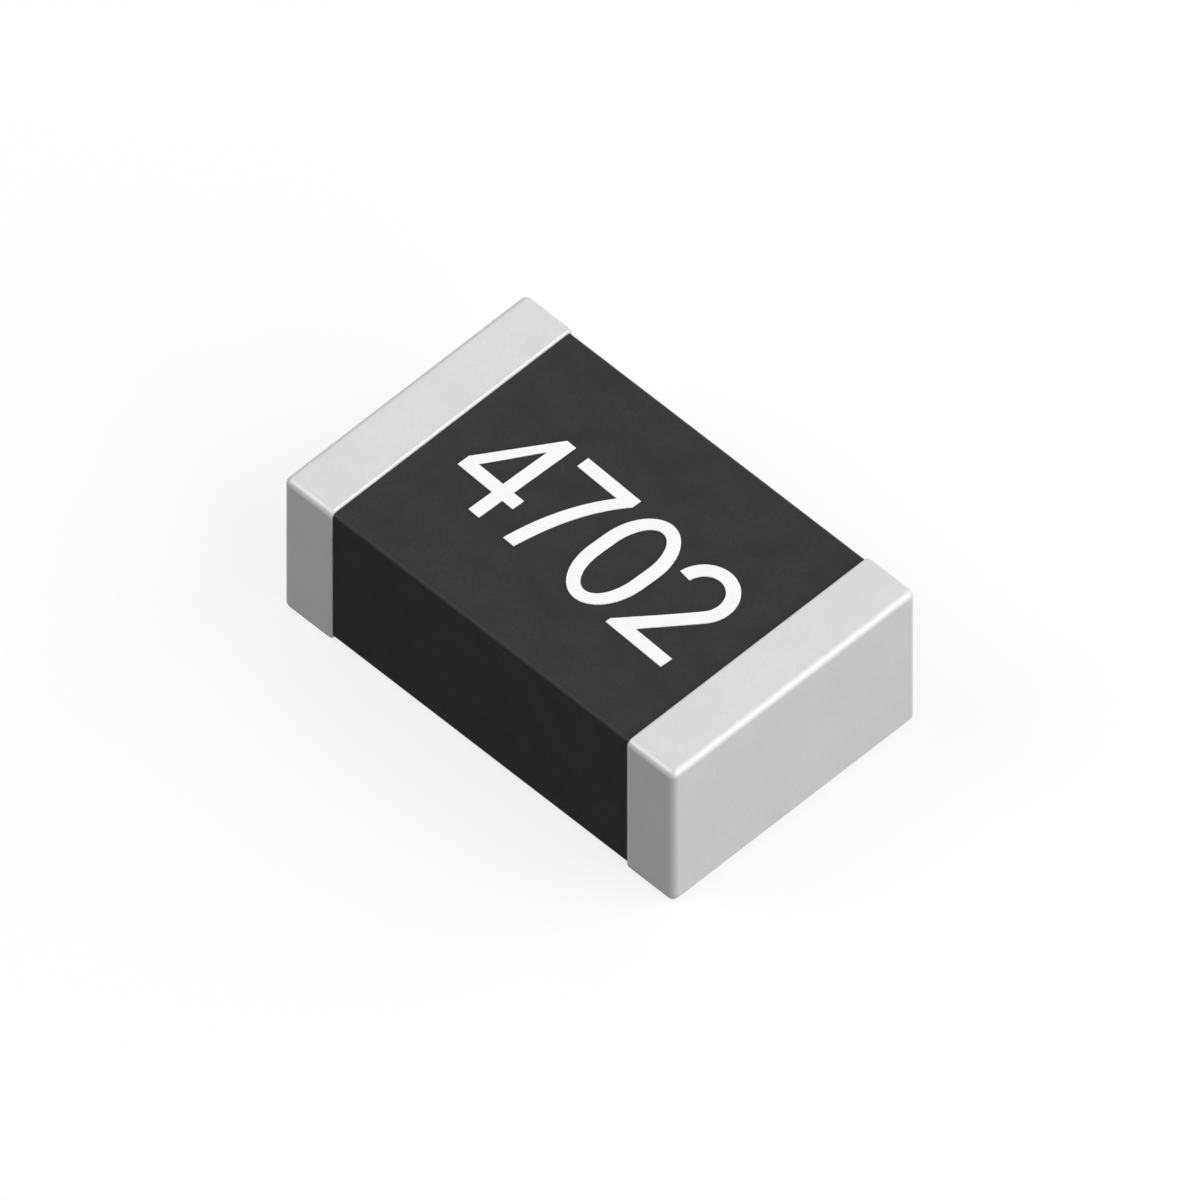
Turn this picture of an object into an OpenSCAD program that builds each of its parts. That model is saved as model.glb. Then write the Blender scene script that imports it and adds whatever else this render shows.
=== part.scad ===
// Surface-mount multilayer ceramic capacitor.
// The chip lies on the solder feet of its two terminations. +X runs along the length,
// +Y across the width, and +Z up from the plane of the feet, whose middle is the origin.
// All sizes are in millimetres.

/* [Chip] */
// Length over both terminations
chip_length = 3.05; // [1.6:0.05:6.5]
// Width over the terminations
chip_width = 1.90; // [0.8:0.05:6.3]
// Height over the terminations
chip_height = 1.10; // [0.5:0.05:3.2]

/* [Ceramic body] */
// Rounding that tumbling leaves on the edges of the fired body
body_edge_radius = 0.025; // [0.01:0.005:0.08]
// Bare ceramic above the top electrode and below the bottom one
cover_thickness = 0.12; // [0.04:0.01:0.2]
// Bare ceramic beside each electrode
side_margin = 0.20; // [0.1:0.01:0.3]
// Bare ceramic between an electrode's free edge and the other end of the body
end_margin = 0.25; // [0.15:0.01:0.4]

/* [Inner electrodes] */
// Number of electrodes, half of them joined to each end
electrode_count = 24; // [4:2:50]
// Thickness of one electrode
electrode_thickness = 0.002; // [0.001:0.001:0.004]

/* [Terminations] */
// Length of the band that wraps round the body
band_length = 0.37; // [0.15:0.01:0.6]
// Fired copper on the end of the body
copper_end_thickness = 0.040; // [0.02:0.005:0.08]
// Fired copper along the band
copper_band_thickness = 0.010; // [0.005:0.001:0.03]
// Rounding of the copper's free edge, where the band ends on the body
copper_lip_radius = 0.0075; // [0.002:0.0005:0.02]
// Plated nickel
nickel_thickness = 0.004; // [0.002:0.001:0.008]
// Plated tin
tin_thickness = 0.006; // [0.003:0.001:0.012]

/* [Hidden] */
// Number of facets that a preview draws round a curve
$fn = 48;

// What the three layers of a termination add to the body, on the end and along the band
end_build_up = copper_end_thickness + nickel_thickness + tin_thickness;
band_build_up = copper_band_thickness + nickel_thickness + tin_thickness;

body_length = chip_length - 2 * end_build_up;
body_width = chip_width - 2 * band_build_up;
body_height = chip_height - 2 * band_build_up;

// The free edge can't be rounded over more than the copper's own thickness
lip_radius = min(copper_lip_radius, copper_band_thickness);

electrode_length = body_length - end_margin;
electrode_width = body_width - 2 * side_margin;
lowest_electrode_z = band_build_up + cover_thickness;
electrode_pitch = (body_height - 2 * cover_thickness - electrode_thickness)
    / (electrode_count - 1);

// Which way each end of the chip lies
ENDS = [["left", -1], ["right", 1]];

function electrode_name(index) = str("electrode_", index < 10 ? "0" : "", index);

// What is cut off a square corner at the origin to round it, for a plate that
// lies towards (toward_x, toward_y)
module corner_waste(radius, toward_x, toward_y) {
    difference() {
        translate([min(0, toward_x * radius), min(0, toward_y * radius)])
            square(radius);
        translate([toward_x * radius, toward_y * radius]) circle(radius);
    }
}

// Outline from x = 0 to the length, with one corner radius at each end
module outline(length, breadth, start_radius, finish_radius) {
    difference() {
        translate([0, -breadth / 2]) square([length, breadth]);
        for (side = [-1, 1]) {
            translate([0, side * breadth / 2])
                corner_waste(start_radius, 1, -side);
            translate([length, side * breadth / 2])
                corner_waste(finish_radius, -1, -side);
        }
    }
}

// Block with every edge rounded: long edges, those of the end at x = 0, and those
// of the end at x = length. It is centred across Y and stands on z = 0.
module rounded_block(length, width, height, long_radius, start_radius, finish_radius) {
    intersection() {
        linear_extrude(height)
            outline(length, width, start_radius, finish_radius);
        translate([0, width / 2, height / 2]) rotate([90, 0, 0])
            linear_extrude(width)
                outline(length, height, start_radius, finish_radius);
        translate([0, 0, height / 2]) rotate([90, 0, 90])
            linear_extrude(length) translate([-width / 2, 0])
                outline(width, height, long_radius, long_radius);
    }
}

// Outer form of the fired body
module body_block() {
    translate([-body_length / 2, 0, band_build_up])
        rounded_block(body_length, body_width, body_height,
            body_edge_radius, body_edge_radius, body_edge_radius);
}

// Outer form of the left copper cap, grown all round by the plating over it. Every
// rounded edge grows with it, so each plated layer keeps one thickness.
module cap_block(plating) {
    band_offset = copper_band_thickness + plating;
    end_offset = copper_end_thickness + plating;
    plating_left = nickel_thickness + tin_thickness - plating;
    outer_radius = body_edge_radius + band_offset;
    translate([-body_length / 2 - end_offset, 0, band_build_up - band_offset])
        rounded_block(
            band_length - 2 * plating_left,
            body_width + 2 * band_offset,
            body_height + 2 * band_offset,
            outer_radius, outer_radius, lip_radius + plating);
}

// Puts what is modelled for the left end at the given end
module at_end(direction) {
    mirror([direction > 0 ? 1 : 0, 0, 0]) children();
}

// Thin metal film between two layers of ceramic, reaching one end face only
module electrode(index) {
    direction = index % 2 == 1 ? -1 : 1;
    color("lightslategray") at_end(direction)
        translate([-body_length / 2, -electrode_width / 2,
            lowest_electrode_z + (index - 1) * electrode_pitch])
            cube([electrode_length, electrode_width, electrode_thickness]);
}

// Fired dielectric block, with the electrodes' places open in it
module ceramic_body() {
    color([0.23, 0.23, 0.23]) difference() {
        body_block();
        for (index = [1 : electrode_count]) electrode(index);
    }
}

// Fired copper cap, which the electrodes of its end meet
module copper_base(direction) {
    color("peru") at_end(direction) difference() {
        cap_block(0);
        body_block();
    }
}

// Plated nickel over the copper, down to the ceramic at its edge
module nickel_barrier(direction) {
    color("silver") at_end(direction) difference() {
        cap_block(nickel_thickness);
        cap_block(0);
        body_block();
    }
}

// Plated tin over the nickel, which the solder wets
module tin_finish(direction) {
    color([0.86, 0.86, 0.86]) at_end(direction) difference() {
        cap_block(nickel_thickness + tin_thickness);
        cap_block(nickel_thickness);
        body_block();
    }
}

ceramic_body();

for (index = [1 : electrode_count])
    electrode(index);

for (end = ENDS) {
    copper_base(end[1]);
    nickel_barrier(end[1]);
    tin_finish(end[1]);
}
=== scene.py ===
# A surface-mount multilayer ceramic capacitor, dressed in the order in which it is made:
# the fired body, the electrodes in it, three metal layers on each end, and the marking.
# A piece is shaped in millimetres and turned into metres when it is finished.
import math

import bmesh
import bpy
from mathutils import Matrix, Vector


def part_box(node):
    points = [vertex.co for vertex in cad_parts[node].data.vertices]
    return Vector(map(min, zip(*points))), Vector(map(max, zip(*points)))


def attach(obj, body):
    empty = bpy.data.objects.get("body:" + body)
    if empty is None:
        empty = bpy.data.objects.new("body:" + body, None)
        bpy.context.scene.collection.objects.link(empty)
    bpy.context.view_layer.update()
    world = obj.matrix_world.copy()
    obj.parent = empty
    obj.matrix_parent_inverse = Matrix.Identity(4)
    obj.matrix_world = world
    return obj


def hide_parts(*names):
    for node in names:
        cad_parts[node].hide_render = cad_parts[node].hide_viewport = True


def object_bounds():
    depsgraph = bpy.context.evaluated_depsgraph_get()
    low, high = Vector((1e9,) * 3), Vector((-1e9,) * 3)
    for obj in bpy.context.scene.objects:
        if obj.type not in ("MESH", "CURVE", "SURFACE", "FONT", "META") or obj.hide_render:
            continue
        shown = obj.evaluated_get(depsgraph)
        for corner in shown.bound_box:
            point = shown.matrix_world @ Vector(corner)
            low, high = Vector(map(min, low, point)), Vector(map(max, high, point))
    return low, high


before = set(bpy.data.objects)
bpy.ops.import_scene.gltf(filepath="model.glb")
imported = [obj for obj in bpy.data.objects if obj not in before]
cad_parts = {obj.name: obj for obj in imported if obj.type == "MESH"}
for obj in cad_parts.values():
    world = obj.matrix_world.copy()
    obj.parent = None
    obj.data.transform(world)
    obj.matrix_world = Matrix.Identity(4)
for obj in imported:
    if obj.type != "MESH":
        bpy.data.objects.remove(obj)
cad_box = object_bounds()


# The fired body is one block of barium titanate ceramic. It is stacked from cast tape with
# the electrodes printed between, pressed, cut to size, tumbled so that its edges are
# rounded, and fired. Twenty-four thin slots in it hold the electrodes.
MM = 0.001
EDGE_RADIUS = 0.025
ARC_STEPS = 12
SEAM = 0.0001  # points closer together than this become one
SHARP_ANGLE = math.radians(50)
SLOT_OVERRUN = 0.05  # how far the cutter of a slot stands out of the body
UPRIGHT = (math.radians(90), 0, math.radians(90))  # turns a flat shape to face along the chip
MIX_A, MIX_B, MIXED = 6, 7, 2  # a Mix node's two colour inputs, and its colour output


def box_mm(node):
    """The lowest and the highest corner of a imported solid, in millimetres."""
    low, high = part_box(node)
    return low / MM, high / MM


def linear(colour):
    """An sRGB hex colour as linear red, green, blue and alpha."""
    shares = [int(colour[at:at + 2], 16) / 255 for at in (1, 3, 5)]
    return [s / 12.92 if s <= 0.04045 else ((s + 0.055) / 1.055) ** 2.4 for s in shares] + [1]


def set_inputs(tree, node, inputs):
    """Sets a node's inputs to values, or links them to a socket or a node's first output."""
    for socket, value in inputs.items():
        if isinstance(value, bpy.types.Node):
            value = value.outputs[0]
        if isinstance(value, bpy.types.NodeSocket):
            tree.links.new(value, node.inputs[socket])
        else:
            node.inputs[socket].default_value = value


def add_node(tree, kind, inputs=None, **settings):
    """Adds a node with its settings and its inputs."""
    node = tree.nodes.new(kind)
    for name, value in settings.items():
        setattr(node, name, value)
    set_inputs(tree, node, inputs or {})
    return node


def node_tree(name, sockets):
    """An empty Geometry Nodes tree with these named inputs, and its group input's sockets."""
    tree = bpy.data.node_groups.new(name, "GeometryNodeTree")
    for socket, kind in {"Geometry": "Geometry", **sockets}.items():
        tree.interface.new_socket(socket, in_out="INPUT", socket_type="NodeSocket" + kind)
    tree.interface.new_socket("Geometry", in_out="OUTPUT", socket_type="NodeSocketGeometry")
    return tree, add_node(tree, "NodeGroupInput").outputs


def wrap_tree():
    """Sweeps a section round the chip's rounded outline, and closes both ends flat.

    Each ring of points is the outline, grown outwards by the section's height there, so
    the rounding of the long edges grows with it and every layer has an even thickness."""
    tree, given = node_tree("wrap_round_the_chip", {
        "Section": "Object", "Width": "Float", "Height": "Float", "Edge Radius": "Float",
        "Arc Steps": "Int", "Material": "Material"})
    radius = given["Edge Radius"]

    # The core is the flat rectangle whose corners are the centres of the outline's four arcs
    full = add_node(tree, "ShaderNodeCombineXYZ", {"Y": given["Width"], "Z": given["Height"]})
    half = add_node(tree, "ShaderNodeVectorMath", {0: full, "Scale": 0.5}, operation="SCALE")
    inset = add_node(tree, "ShaderNodeCombineXYZ", {"Y": radius, "Z": radius})
    reach = add_node(tree, "ShaderNodeVectorMath", {0: half, 1: inset}, operation="SUBTRACT")
    far_reach = add_node(tree, "ShaderNodeVectorMath", {0: reach, "Scale": -1},
                         operation="SCALE")

    # Each point of the outline keeps its nearest point of the core, and its way out from it
    sharp_outline = add_node(tree, "GeometryNodeCurvePrimitiveQuadrilateral",
                             {"Width": given["Width"], "Height": given["Height"]})
    flat_outline = add_node(tree, "GeometryNodeFilletCurve",
                            {"Curve": sharp_outline, "Count": given["Arc Steps"],
                             "Radius": radius}, mode="POLY")
    outline = add_node(tree, "GeometryNodeTransform",
                       {"Geometry": flat_outline, "Rotation": UPRIGHT})
    place = add_node(tree, "GeometryNodeInputPosition")
    nearer = add_node(tree, "ShaderNodeVectorMath", {0: place, 1: reach}, operation="MINIMUM")
    core = add_node(tree, "ShaderNodeVectorMath", {0: nearer, 1: far_reach},
                    operation="MAXIMUM")
    away = add_node(tree, "ShaderNodeVectorMath", {0: place, 1: core}, operation="SUBTRACT")
    outward = add_node(tree, "ShaderNodeVectorMath", {0: away}, operation="NORMALIZE")
    ring = add_node(tree, "GeometryNodeCaptureAttribute", {0: outline})
    for name, field in (("Core", core), ("Outward", outward)):
        ring.capture_items.new("VECTOR", name)
        set_inputs(tree, ring, {name: field})

    # Each corner of the section is rounded by its own point's radius
    drawn = add_node(tree, "GeometryNodeObjectInfo", {"Object": given["Section"]})
    rounding = add_node(tree, "GeometryNodeInputRadius")
    rounded = add_node(tree, "GeometryNodeFilletCurve",
                       {"Curve": drawn.outputs["Geometry"], "Count": given["Arc Steps"],
                        "Radius": rounding}, mode="POLY")
    section = add_node(tree, "GeometryNodeCaptureAttribute", {0: rounded})
    section.capture_items.new("VECTOR", "Place")
    set_inputs(tree, section, {"Place": place})

    # Each swept point is set out from the core by the edge radius and its height in the
    # section, and along the chip by its place in the section
    swept = add_node(tree, "GeometryNodeCurveToMesh",
                     {"Curve": ring, "Profile Curve": section})
    drawn_at = add_node(tree, "ShaderNodeSeparateXYZ", {0: section.outputs["Place"]})
    stand_off = add_node(tree, "ShaderNodeMath", {0: drawn_at.outputs["Y"], 1: radius})
    grown = add_node(tree, "ShaderNodeVectorMath",
                     {0: ring.outputs["Outward"], "Scale": stand_off}, operation="SCALE")
    along = add_node(tree, "ShaderNodeCombineXYZ", {"X": drawn_at.outputs["X"]})
    across = add_node(tree, "ShaderNodeVectorMath", {0: ring.outputs["Core"], 1: grown})
    seat = add_node(tree, "ShaderNodeVectorMath", {0: across, 1: along})
    placed = add_node(tree, "GeometryNodeSetPosition", {"Geometry": swept, "Position": seat})
    side = add_node(tree, "GeometryNodeFlipFaces", {0: placed})

    # A flat face of the core's size closes each end
    flat_size = add_node(tree, "ShaderNodeVectorMath", {0: reach, "Scale": 2},
                         operation="SCALE")
    flat = add_node(tree, "ShaderNodeSeparateXYZ", {0: flat_size})
    face = add_node(tree, "GeometryNodeMeshGrid",
                    {"Size X": flat.outputs["Y"], "Size Y": flat.outputs["Z"],
                     "Vertices X": 2, "Vertices Y": 2})
    joined = add_node(tree, "GeometryNodeJoinGeometry", {0: side})
    for share in (0, 1):
        tip = add_node(tree, "GeometryNodeSampleCurve",
                       {"Curves": drawn.outputs["Geometry"], "Factor": share}, mode="FACTOR")
        tip_at = add_node(tree, "ShaderNodeSeparateXYZ", {0: tip.outputs["Position"]})
        shift = add_node(tree, "ShaderNodeCombineXYZ", {"X": tip_at.outputs["X"]})
        end = add_node(tree, "GeometryNodeTransform",
                       {"Geometry": face, "Translation": shift, "Rotation": UPRIGHT})
        if share == 0:
            end = add_node(tree, "GeometryNodeFlipFaces", {0: end})
        set_inputs(tree, joined, {0: end})

    # The seams are merged, and only edges that bend sharply are left sharp
    merged = add_node(tree, "GeometryNodeMergeByDistance",
                      {"Geometry": joined, "Distance": SEAM})
    bend = add_node(tree, "GeometryNodeInputMeshEdgeAngle")
    gentle = add_node(tree, "ShaderNodeMath", {0: bend, 1: SHARP_ANGLE}, operation="LESS_THAN")
    smooth = add_node(tree, "GeometryNodeSetShadeSmooth", {"Geometry": merged})
    creased = add_node(tree, "GeometryNodeSetShadeSmooth",
                       {"Geometry": smooth, "Shade Smooth": gentle}, domain="EDGE")
    finished = add_node(tree, "GeometryNodeSetMaterial",
                        {"Geometry": creased, "Material": given["Material"]})
    add_node(tree, "NodeGroupOutput", {0: finished})
    return tree


def slot_tree():
    """Cuts a row of equal flat slots that open to one end and the other in turn."""
    tree, given = node_tree("cut_electrode_slots", {
        "Count": "Int", "Size": "Vector", "Lowest": "Float", "Pitch": "Float",
        "Shift": "Float", "Material": "Material"})
    lowest = add_node(tree, "ShaderNodeCombineXYZ", {"Z": given["Lowest"]})
    pitch = add_node(tree, "ShaderNodeCombineXYZ", {"Z": given["Pitch"]})
    row = add_node(tree, "GeometryNodeMeshLine",
                   {"Count": given["Count"], "Start Location": lowest, "Offset": pitch})

    # The even slots go one way by the shift, and the odd ones the other way
    index = add_node(tree, "GeometryNodeInputIndex")
    odd = add_node(tree, "ShaderNodeMath", {0: index, 1: 2}, operation="MODULO")
    turn = add_node(tree, "ShaderNodeMath", {0: odd, 1: 2, 2: -1}, operation="MULTIPLY_ADD")
    shift = add_node(tree, "ShaderNodeMath", {0: turn, 1: given["Shift"]},
                     operation="MULTIPLY")
    offset = add_node(tree, "ShaderNodeCombineXYZ", {"X": shift})
    staggered = add_node(tree, "GeometryNodeSetPosition", {"Geometry": row, "Offset": offset})

    slot = add_node(tree, "GeometryNodeMeshCube", {"Size": given["Size"]})
    slots = add_node(tree, "GeometryNodeInstanceOnPoints",
                     {"Points": staggered, "Instance": slot})
    cutters = add_node(tree, "GeometryNodeRealizeInstances", {0: slots})
    cut = add_node(tree, "GeometryNodeMeshBoolean",
                   {"Mesh 1": given["Geometry"], "Mesh 2": cutters},
                   operation="DIFFERENCE", solver="EXACT")
    finished = add_node(tree, "GeometryNodeSetMaterial",
                        {"Geometry": cut, "Material": given["Material"]})
    add_node(tree, "NodeGroupOutput", {0: finished})
    return tree


def section_curve(corners):
    """A line through (along, height above the body, rounding) corners."""
    data = bpy.data.curves.new("section", "CURVE")
    data.dimensions = "3D"
    line = data.splines.new("POLY")
    line.points.add(len(corners) - 1)
    for point, (along, rise, rounding) in zip(line.points, corners):
        point.co = (along, rise, 0, 1)
        point.radius = rounding
    section = bpy.data.objects.new("section", data)
    bpy.context.scene.collection.objects.link(section)
    return section


def make_piece(name, steps, place):
    """Runs Geometry Nodes trees in turn, and keeps the result as one plain mesh in metres.

    Each point's rounding, 0 on a flat face and 0.29 midway round an edge, is kept on it, for the
    materials that lighten their edges, partly as wear and partly as a painted highlight."""
    piece = bpy.data.objects.new(name, bpy.data.meshes.new(name))
    bpy.context.scene.collection.objects.link(piece)
    for tree, values in steps:
        modifier = piece.modifiers.new(tree.name, "NODES")
        modifier.node_group = tree
        for socket in tree.interface.items_tree:
            if socket.name in values and socket.in_out == "INPUT":
                modifier[socket.identifier] = values[socket.name]
    shading = piece.modifiers.new("even_shading", "WEIGHTED_NORMAL")
    shading.keep_sharp = True
    evaluated = piece.evaluated_get(bpy.context.evaluated_depsgraph_get())
    mesh = bpy.data.meshes.new_from_object(evaluated)
    piece.modifiers.clear()
    # The trees put their material in a second slot and leave the first one empty
    mesh.materials.pop(index=0)
    rounding = mesh.attributes.new("rounding", "FLOAT", "POINT")
    rounding.data.foreach_set(
        "value", [1 - max(abs(part) for part in vertex.normal) for vertex in mesh.vertices])
    mesh.transform(Matrix.Scale(MM, 4) @ place)
    piece.data = mesh
    mesh.name = name
    return piece


def new_material(name):
    """A material, its node tree, and the coordinates of the piece that it is on."""
    material = bpy.data.materials.new(name)
    material.use_nodes = True
    place = add_node(material.node_tree, "ShaderNodeTexCoord").outputs["Object"]
    return material, material.node_tree, place


def edge_wear_and_highlight(tree):
    """A factor of 0 on a flat face and 1 on a rounded edge, from each point's rounding, for
    edges lightened partly by wear and partly as a painted highlight.
    """
    rounding = add_node(tree, "ShaderNodeAttribute", attribute_name="rounding")
    return add_node(tree, "ShaderNodeMapRange",
                    {"Value": rounding.outputs["Fac"], "From Min": 0.002, "From Max": 0.1})


def fired_ceramic():
    """Barium titanate, pressed and fired: a dense dark grey, matt, with a faint mottle.

    Its grain is under a micrometre, too fine to show, so it is drawn 16 micrometres wide.
    The rounded edges are a shade lighter than the faces: partly the wear of tumbling, partly a
    painted highlight."""
    mottle_size = 0.22
    grain_size = 0.016
    material, tree, place = new_material("fired_ceramic")
    mottle = add_node(tree, "ShaderNodeTexNoise",
                      {"Vector": place, "Scale": 1 / (mottle_size * MM), "Detail": 3})
    grain = add_node(tree, "ShaderNodeTexNoise",
                     {"Vector": place, "Scale": 1 / (grain_size * MM), "Detail": 2})
    tone = add_node(tree, "ShaderNodeMath", {0: mottle, 1: grain}, operation="MULTIPLY")
    mottled = add_node(tree, "ShaderNodeMix",
                       {"Factor": tone, MIX_A: linear("#333333"), MIX_B: linear("#454545")},
                       data_type="RGBA")
    # The rounded edges are mixed towards a lighter grey, partly tumbling wear and partly a
    # painted highlight
    colour = add_node(tree, "ShaderNodeMix",
                      {"Factor": edge_wear_and_highlight(tree), MIX_A: mottled.outputs[MIXED],
                       MIX_B: linear("#474747")}, data_type="RGBA")
    polish = add_node(tree, "ShaderNodeMapRange",
                      {"Value": grain, "To Min": 0.58, "To Max": 0.72})
    relief = add_node(tree, "ShaderNodeBump",
                      {"Height": grain, "Strength": 1, "Distance": 0.0015 * MM})
    set_inputs(tree, tree.nodes["Principled BSDF"], {
        "Base Color": colour.outputs[MIXED], "Specular IOR Level": 0.035,
        "Roughness": polish, "Normal": relief})
    return material


body_low, body_high = box_mm("ceramic_body")
body_size = body_high - body_low
mid_height = (body_low.z + body_high.z) / 2
at_mid_height = Matrix.Translation((0, 0, mid_height))
electrode_names = sorted(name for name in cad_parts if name.startswith("electrode_"))
electrode_low, electrode_high = box_mm(electrode_names[0])
electrode_size = electrode_high - electrode_low
top_electrode_low, _ = box_mm(electrode_names[-1])
slot_pitch = (top_electrode_low.z - electrode_low.z) / (len(electrode_names) - 1)

wrap = wrap_tree()
ceramic = fired_ceramic()
wrapped_size = {"Width": body_size.y, "Height": body_size.z, "Edge Radius": EDGE_RADIUS,
                "Arc Steps": ARC_STEPS}
body_section = section_curve([
    (body_low.x, -EDGE_RADIUS, 0), (body_low.x, 0, EDGE_RADIUS),
    (body_high.x, 0, EDGE_RADIUS), (body_high.x, -EDGE_RADIUS, 0)])
slot_size = Vector((electrode_size.x + SLOT_OVERRUN, electrode_size.y, electrode_size.z))
body = make_piece("fired_body", [
    (wrap, {**wrapped_size, "Section": body_section, "Material": ceramic}),
    (slot_tree(), {
        "Count": len(electrode_names), "Size": slot_size, "Pitch": slot_pitch,
        "Lowest": electrode_low.z + electrode_size.z / 2 - mid_height,
        "Shift": body_high.x + SLOT_OVERRUN - slot_size.x / 2, "Material": ceramic}),
], at_mid_height)
bpy.data.objects.remove(body_section)
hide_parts("ceramic_body")
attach(body, "root")


# The electrodes are films of nickel paste, printed on the ceramic tape and fired with it.
# Every other one reaches the left end, and the rest reach the right end. They are packed
# solids that need only their metal.
def fired_nickel_paste():
    """Nickel paste, screen-printed and fired: a dull warm grey, rough where grains fused.

    Its grains are about a micrometre, too fine to show, so they are drawn 8 micrometres
    wide. The ceramic hides the films, so the grains have no relief."""
    grain_size = 0.008
    material, tree, place = new_material("fired_nickel_paste")
    grain = add_node(tree, "ShaderNodeTexNoise",
                     {"Vector": place, "Scale": 1 / (grain_size * MM), "Detail": 3})
    colour = add_node(tree, "ShaderNodeMix",
                      {"Factor": grain, MIX_A: linear("#8F8A80"), MIX_B: linear("#B4AEA2")},
                      data_type="RGBA")
    polish = add_node(tree, "ShaderNodeMapRange",
                      {"Value": grain, "To Min": 0.45, "To Max": 0.65})
    set_inputs(tree, tree.nodes["Principled BSDF"], {
        "Base Color": colour.outputs[MIXED], "Metallic": 1, "Roughness": polish})
    return material


electrode_metal = fired_nickel_paste()
for name in electrode_names:
    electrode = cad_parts[name]
    electrode.data.materials.clear()
    electrode.data.materials.append(electrode_metal)


# The copper base of each termination is a paste of copper and glass. The end of the body is
# dipped in it, so it wraps round on to four faces, and it is fired on. The electrodes of
# that end meet it.
LIP_RADIUS = 0.0075


def fired_copper():
    """Copper and glass paste, dipped and fired: a matt pinkish brown with dark glass specks.

    The specks are 3 to 10 micrometres, too fine to show, so they are drawn 12 micrometres
    wide."""
    speck_size = 0.012
    material, tree, place = new_material("fired_copper")
    specks = add_node(tree, "ShaderNodeTexVoronoi",
                      {"Vector": place, "Scale": 1 / (speck_size * MM)})
    spread = add_node(tree, "ShaderNodeMapRange",
                      {"Value": specks.outputs["Distance"], "From Min": 0.12, "From Max": 0.3})
    colour = add_node(tree, "ShaderNodeMix",
                      {"Factor": spread, MIX_A: linear("#6A4636"), MIX_B: linear("#C98A6B")},
                      data_type="RGBA")
    polish = add_node(tree, "ShaderNodeMapRange",
                      {"Value": specks.outputs["Distance"], "To Min": 0.35, "To Max": 0.6})
    relief = add_node(tree, "ShaderNodeBump",
                      {"Height": spread, "Strength": 0.4, "Distance": 0.001 * MM})
    set_inputs(tree, tree.nodes["Principled BSDF"], {
        "Base Color": colour.outputs[MIXED], "Metallic": 0.9, "Roughness": polish,
        "Normal": relief})
    return material


copper_low, _ = box_mm("copper_base_left")
nickel_low, _ = box_mm("nickel_barrier_left")
tin_low, tin_high = box_mm("tin_finish_left")
nickel_thickness = copper_low.x - nickel_low.x
tin_thickness = nickel_low.x - tin_low.x
copper_band_thickness = body_low.z - copper_low.z
half_turn = Matrix.Rotation(math.pi, 4, "Z")


def cap_corners(plating):
    """The left copper cap's outer section, grown by the plating over it."""
    missing = nickel_thickness + tin_thickness - plating
    rise = copper_band_thickness + plating
    end, band_edge = tin_low.x + missing, tin_high.x - missing
    return [(end, -EDGE_RADIUS, 0), (end, rise, EDGE_RADIUS + rise),
            (band_edge, rise, LIP_RADIUS + plating), (band_edge, 0, 0)]


def make_caps(layer, replaced, outer, inner, material):
    """One metal layer on both ends: the right one is the left one, turned round."""
    section = section_curve(outer + inner[::-1])
    values = {**wrapped_size, "Section": section, "Material": material}
    for side, turn in (("left", Matrix()), ("right", half_turn)):
        cap = make_piece(f"{layer}_{side}", [(wrap, values)], turn @ at_mid_height)
        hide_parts(f"{replaced}_{side}")
        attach(cap, "root")
    bpy.data.objects.remove(section)


body_end = [(body_low.x, -EDGE_RADIUS, 0), (body_low.x, 0, EDGE_RADIUS)]
make_caps("copper_cap", "copper_base", cap_corners(0), body_end, fired_copper())


# The nickel barrier is plated over the copper, down to the ceramic at the band's edge. It
# keeps molten solder from dissolving the copper.
def satin_nickel_plate():
    """Nickel, plated from a sulphamate bath: a warm silver with a fine even satin.

    Its crystals are about a micrometre, too fine to show, so they are drawn 10 micrometres
    wide."""
    crystal_size = 0.010
    material, tree, place = new_material("satin_nickel_plate")
    crystals = add_node(tree, "ShaderNodeTexNoise",
                        {"Vector": place, "Scale": 1 / (crystal_size * MM), "Detail": 2})
    colour = add_node(tree, "ShaderNodeMix",
                      {"Factor": crystals, MIX_A: linear("#BDB7AB"), MIX_B: linear("#D2CCC0")},
                      data_type="RGBA")
    polish = add_node(tree, "ShaderNodeMapRange",
                      {"Value": crystals, "To Min": 0.28, "To Max": 0.42})
    relief = add_node(tree, "ShaderNodeBump",
                      {"Height": crystals, "Strength": 0.2, "Distance": 0.001 * MM})
    set_inputs(tree, tree.nodes["Principled BSDF"], {
        "Base Color": colour.outputs[MIXED], "Metallic": 1, "Roughness": polish,
        "Normal": relief})
    return material


make_caps("nickel_cap", "nickel_barrier", cap_corners(nickel_thickness),
          cap_corners(0), satin_nickel_plate())


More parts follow.
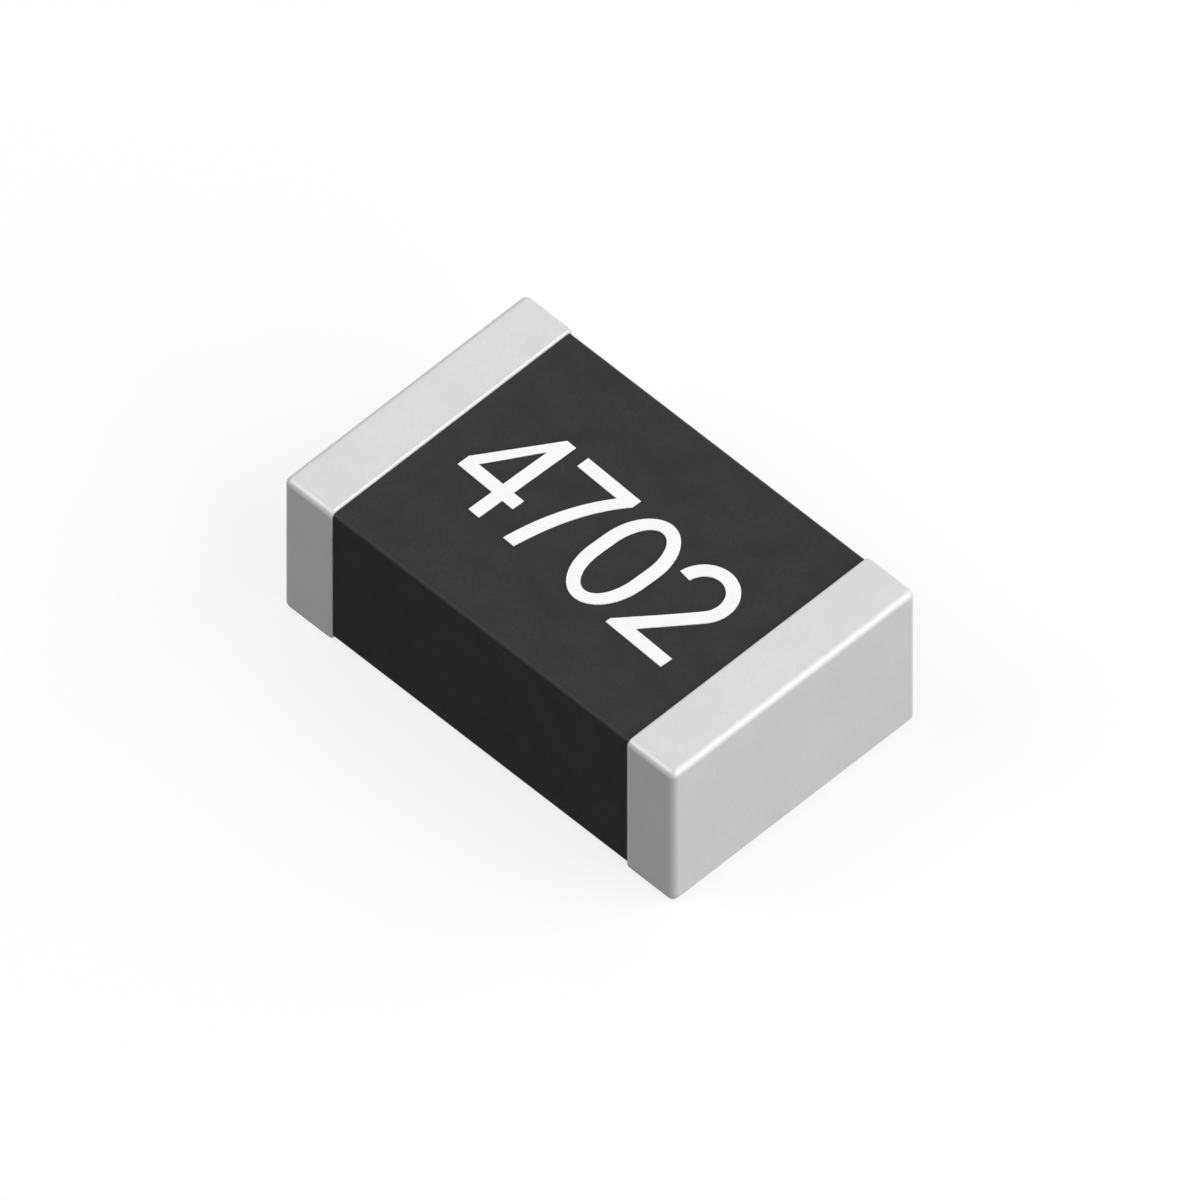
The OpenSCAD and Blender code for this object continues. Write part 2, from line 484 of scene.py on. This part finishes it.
# The tin finish is plated over the nickel, and it is what the solder wets. It is the light
# metal that shows on both ends of the chip.
def matt_tin_plate():
    """Tin, plated without brightener: a soft light grey that scatters most of its light.

    Its crystals are 1 to 5 micrometres, too fine to show, so they are drawn 14 micrometres wide.
    The rounded edges are a shade lighter: partly where chips rub on one another in the plating
    barrel, partly a painted highlight."""
    cloud_size = 0.30
    crystal_size = 0.014
    material, tree, place = new_material("matt_tin_plate")
    clouds = add_node(tree, "ShaderNodeTexNoise",
                      {"Vector": place, "Scale": 1 / (cloud_size * MM), "Detail": 3})
    crystals = add_node(tree, "ShaderNodeTexNoise",
                        {"Vector": place, "Scale": 1 / (crystal_size * MM), "Detail": 2})
    tone = add_node(tree, "ShaderNodeMath", {0: clouds, 1: crystals}, operation="MULTIPLY")
    plated = add_node(tree, "ShaderNodeMix",
                      {"Factor": tone, MIX_A: linear("#CFCFCF"), MIX_B: linear("#E2E2E2")},
                      data_type="RGBA")
    # The rounded edges are mixed towards a lighter grey, partly barrel rubbing and partly a
    # painted highlight
    colour = add_node(tree, "ShaderNodeMix",
                      {"Factor": edge_wear_and_highlight(tree), MIX_A: plated.outputs[MIXED],
                       MIX_B: linear("#D9D9D9")}, data_type="RGBA")
    polish = add_node(tree, "ShaderNodeMapRange",
                      {"Value": crystals, "To Min": 0.30, "To Max": 0.54})
    relief = add_node(tree, "ShaderNodeBump",
                      {"Height": crystals, "Strength": 1, "Distance": 0.0013 * MM})
    set_inputs(tree, tree.nodes["Principled BSDF"], {
        "Base Color": colour.outputs[MIXED], "Metallic": 0.18, "Specular IOR Level": 0,
        "Roughness": polish, "Normal": relief})
    return material


make_caps("tin_cap", "tin_finish", cap_corners(nickel_thickness + tin_thickness),
          cap_corners(nickel_thickness), matt_tin_plate())


# The marking is the capacitance in four plain figures: 470 picofarads and two noughts more,
# which is 47 nF. It is pad-printed on the top face in white epoxy ink, which stands a few
# micrometres proud of the ceramic.
FIGURE_HEIGHT = 0.735
STROKE = 0.085
FIGURE_PITCH = 0.4625
INK_THICKNESS = 0.008
INK_EDGE = 0.002  # the rounding of the ink's rim
MARK_TILT = math.radians(-1.9)
MARK_CENTRE = Vector((0.0, -0.03))


def arc(centre, radii, start, finish, steps=28):
    """Points along an upright ellipse, from one angle to another, in degrees."""
    angles = [math.radians(start + (finish - start) * step / steps) for step in range(steps + 1)]
    return [(centre[0] + radii[0] * math.cos(a), centre[1] + radii[1] * math.sin(a))
            for a in angles]


def bow(start, control, finish, steps=20):
    """Points along a plain curve that leaves start towards control and ends at finish."""
    start, control, finish = Vector(start), Vector(control), Vector(finish)
    shares = [step / steps for step in range(steps + 1)]
    return [tuple(start * (1 - t) ** 2 + control * 2 * t * (1 - t) + finish * t ** 2)
            for t in shares]


def figure_four():
    """A figure 4: a stem, a crossbar and a slope, round a triangular counter."""
    bar_low, stem_right, width, slope_top = 0.178, 0.362, 0.445, 0.016
    bar_top, stem_left = bar_low + STROKE, stem_right - STROKE
    outline = [
        (stem_left, 0), (stem_right, 0), (stem_right, bar_low), (width, bar_low),
        (width, bar_top), (stem_right, bar_top), (stem_right, FIGURE_HEIGHT),
        (stem_left + slope_top, FIGURE_HEIGHT), (0, bar_top), (0, bar_low),
        (stem_left, bar_low)]
    counter = [(stem_left, bar_top), (0.078, bar_top), (stem_left, 0.598)]
    return [outline, counter]


def figure_seven():
    """A figure 7: a flat top bar, and a leg that bows down to the left."""
    width, foot = 0.425, 0.095
    bar_low = FIGURE_HEIGHT - STROKE
    right = bow((width, bar_low + 0.02), (0.235, 0.42), (foot + STROKE, 0))
    left = bow((foot, 0), (0.14, 0.38), (width - 0.105, bar_low))
    return [[(0, FIGURE_HEIGHT), (width, FIGURE_HEIGHT), *right, *left, (0, bar_low)]]


def figure_zero():
    """A figure 0: an upright oval ring with short straight flanks."""
    upper, lower = (0.215, 0.4275), (0.215, 0.3075)
    outer, inner = (0.215, 0.3175), (0.130, 0.2375)
    return [[*arc(upper, outer, 0, 180), *arc(lower, outer, 180, 360)],
            [*arc(upper, inner, 0, 180), *arc(lower, inner, 180, 360)]]


def figure_two():
    """A figure 2: an open bowl that sweeps down to the left, on a flat foot."""
    bowl, outer, inner, turn = (0.222, 0.5275), (0.208, 0.2175), (0.123, 0.1325), -38
    width, nick = 0.445, (0.150, STROKE)
    over = arc(bowl, outer, 174, turn)
    under = arc(bowl, inner, turn, 174)
    right = bow(over[-1], (0.309, 0.291), nick)
    left = bow((0, 0.035), (0.232, 0.326), under[0])
    return [[*over, *right[1:], (width, STROKE), (width, 0), (0, 0), *left[:-1], *under]]


def print_figures(name, figures, material):
    """Flat ink shapes, side by side, raised by the ink's thickness and rounded at the rim."""
    data = bpy.data.curves.new(name, "CURVE")
    data.dimensions = "2D"
    data.fill_mode = "BOTH"
    data.extrude = INK_THICKNESS / 2 - INK_EDGE
    data.bevel_depth = INK_EDGE
    data.bevel_resolution = 2
    data.offset = -INK_EDGE
    for place, outlines in enumerate(figures):
        for outline in outlines:
            line = data.splines.new("POLY")
            line.points.add(len(outline) - 1)
            line.use_cyclic_u = True
            for point, (x, y) in zip(line.points, outline):
                point.co = (x + place * FIGURE_PITCH, y, 0, 1)
    drawn = bpy.data.objects.new(name, data)
    bpy.context.scene.collection.objects.link(drawn)
    mesh = bpy.data.meshes.new_from_object(
        drawn.evaluated_get(bpy.context.evaluated_depsgraph_get()))
    bpy.data.objects.remove(drawn)
    solid = bmesh.new()
    solid.from_mesh(mesh)
    bmesh.ops.remove_doubles(solid, verts=solid.verts, dist=SEAM)
    # The fill leaves slivers between points that stand in line, so its edges are turned
    bmesh.ops.beautify_fill(solid, faces=solid.faces, edges=solid.edges, method="AREA")
    bmesh.ops.recalc_face_normals(solid, faces=solid.faces)
    solid.to_mesh(mesh)
    solid.free()
    corners = [vertex.co for vertex in mesh.vertices]
    middle = Vector(((min(c.x for c in corners) + max(c.x for c in corners)) / 2,
                     (min(c.y for c in corners) + max(c.y for c in corners)) / 2, 0))
    seat = Vector((*MARK_CENTRE, body_high.z + INK_THICKNESS / 2))
    mesh.transform(Matrix.Scale(MM, 4) @ Matrix.Translation(seat)
                   @ Matrix.Rotation(MARK_TILT, 4, "Z") @ Matrix.Translation(-middle))
    mesh.materials.clear()
    mesh.materials.append(material)
    mesh.name = name
    piece = bpy.data.objects.new(name, mesh)
    bpy.context.scene.collection.objects.link(piece)
    return piece


def white_epoxy_ink():
    """White epoxy ink, pad-printed and baked: bright and matt, with a faint orange peel."""
    peel_size = 0.03
    material, tree, place = new_material("white_epoxy_ink")
    peel = add_node(tree, "ShaderNodeTexNoise",
                    {"Vector": place, "Scale": 1 / (peel_size * MM), "Detail": 2})
    colour = add_node(tree, "ShaderNodeMix",
                      {"Factor": peel, MIX_A: linear("#F8F8F8"), MIX_B: linear("#FDFDFD")},
                      data_type="RGBA")
    polish = add_node(tree, "ShaderNodeMapRange",
                      {"Value": peel, "To Min": 0.5, "To Max": 0.65})
    relief = add_node(tree, "ShaderNodeBump",
                      {"Height": peel, "Strength": 0.2, "Distance": 0.001 * MM})
    set_inputs(tree, tree.nodes["Principled BSDF"], {
        "Base Color": colour.outputs[MIXED], "Roughness": polish, "Normal": relief})
    return material


marking = print_figures(
    "marking", [figure_four(), figure_seven(), figure_zero(), figure_two()], white_epoxy_ink())
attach(marking, "root")


# The studio is a white card floor under a faint even sky. A very broad key lamp stands on the
# right and behind, so the right end is bright and the near side is in shade. Two weaker lamps
# stand high on the left, one behind and one in front, and light the top.
FLOOR_SIZE = 0.4
FLOOR_GAP = 0.0005 * MM  # keeps the floor from touching the underside of the caps
FLOOR_OWN_LIGHT = 0.76  # the part of its white that no shadow darkens
FLOOR_SHARE = 0.25  # the part that the lamps light, where the shadow shows
SKY = 0.03  # the light that the sky gives; seen directly, it is white


def seen_directly(tree):
    """A factor of 1 for rays from the camera, a mirror or a glass, and 0 for the rest."""
    path = add_node(tree, "ShaderNodeLightPath").outputs
    looked_at = add_node(tree, "ShaderNodeMath",
                         {0: path["Is Camera Ray"], 1: path["Is Glossy Ray"]},
                         operation="MAXIMUM")
    return add_node(tree, "ShaderNodeMath", {0: looked_at, 1: path["Is Transmission Ray"]},
                    operation="MAXIMUM")


def studio_floor():
    """White card: its own white where it is looked at, and a dark grey to what it lights."""
    material = bpy.data.materials.new("white_card")
    material.use_nodes = True
    tree = material.node_tree
    tree.nodes.remove(tree.nodes["Principled BSDF"])
    lit = add_node(tree, "ShaderNodeBsdfDiffuse", {"Color": [FLOOR_SHARE] * 3 + [1]})
    glow = add_node(tree, "ShaderNodeEmission", {"Strength": FLOOR_OWN_LIGHT})
    seen = add_node(tree, "ShaderNodeAddShader", {0: lit, 1: glow})
    bounce = add_node(tree, "ShaderNodeBsdfDiffuse", {"Color": linear("#404040")})
    card = add_node(tree, "ShaderNodeMixShader", {0: seen_directly(tree), 1: bounce, 2: seen})
    set_inputs(tree, tree.nodes["Material Output"], {"Surface": card})
    return material


def add_sun(name, towards, share, spread):
    """A distant lamp, so many degrees wide, that gives a surface facing it this share of
    full light."""
    lamp = bpy.data.lights.new(name, "SUN")
    lamp.energy = share * math.pi
    lamp.angle = math.radians(spread)
    holder = bpy.data.objects.new(name, lamp)
    holder.rotation_euler = Vector(towards).to_track_quat("Z", "Y").to_euler()
    bpy.context.scene.collection.objects.link(holder)


floor_mesh = bpy.data.meshes.new("floor")
edge = FLOOR_SIZE / 2
floor_mesh.from_pydata([(-edge, -edge, -FLOOR_GAP), (edge, -edge, -FLOOR_GAP),
                        (edge, edge, -FLOOR_GAP), (-edge, edge, -FLOOR_GAP)], [], [(0, 1, 2, 3)])
floor_mesh.materials.append(studio_floor())
floor = bpy.data.objects.new("floor", floor_mesh)
bpy.context.scene.collection.objects.link(floor)

world = bpy.data.worlds.new("studio_sky")
bpy.context.scene.world = world
world.use_nodes = True
sky = world.node_tree
sky_level = add_node(sky, "ShaderNodeMapRange",
                     {"Value": seen_directly(sky), "To Min": SKY, "To Max": 1})
set_inputs(sky, sky.nodes["Background"], {"Color": (1, 1, 1, 1), "Strength": sky_level})

add_sun("key", towards=(0.855, 0.453, 0.255), share=1.41, spread=100)
add_sun("far_left", towards=(-0.453, 0.453, 0.768), share=0.14, spread=60)
add_sun("near_left", towards=(-0.453, -0.438, 0.776), share=0.42, spread=40)


# The camera sees the chip in parallel projection, from the near right and above, as the
# photograph does.
AZIMUTH = math.radians(45)
ELEVATION = math.radians(50.14)
VIEW_WIDTH = 6.634 * MM
CAMERA_DISTANCE = 0.05
AIM_RIGHT = 0.0017 * MM  # where the middle of the view is, from the middle of the chip
AIM_DOWN = 0.0106 * MM

towards_camera = Vector((math.sin(AZIMUTH) * math.cos(ELEVATION),
                         -math.cos(AZIMUTH) * math.cos(ELEVATION), math.sin(ELEVATION)))
camera_data = bpy.data.cameras.new("photo_view")
camera_data.type = "ORTHO"
camera_data.ortho_scale = VIEW_WIDTH
camera_data.clip_start = 0.001
camera_data.clip_end = 1
camera = bpy.data.objects.new("photo_view", camera_data)
camera.rotation_mode = "QUATERNION"
camera.rotation_quaternion = (-towards_camera).to_track_quat("-Z", "Y")
aim = camera.rotation_quaternion @ Vector((AIM_RIGHT, -AIM_DOWN, 0))
chip_middle = (Vector(cad_box[0]) + Vector(cad_box[1])) / 2
camera.location = chip_middle + towards_camera * CAMERA_DISTANCE + aim
bpy.context.scene.collection.objects.link(camera)
bpy.context.scene.camera = camera
bpy.context.scene.view_settings.view_transform = "Standard"
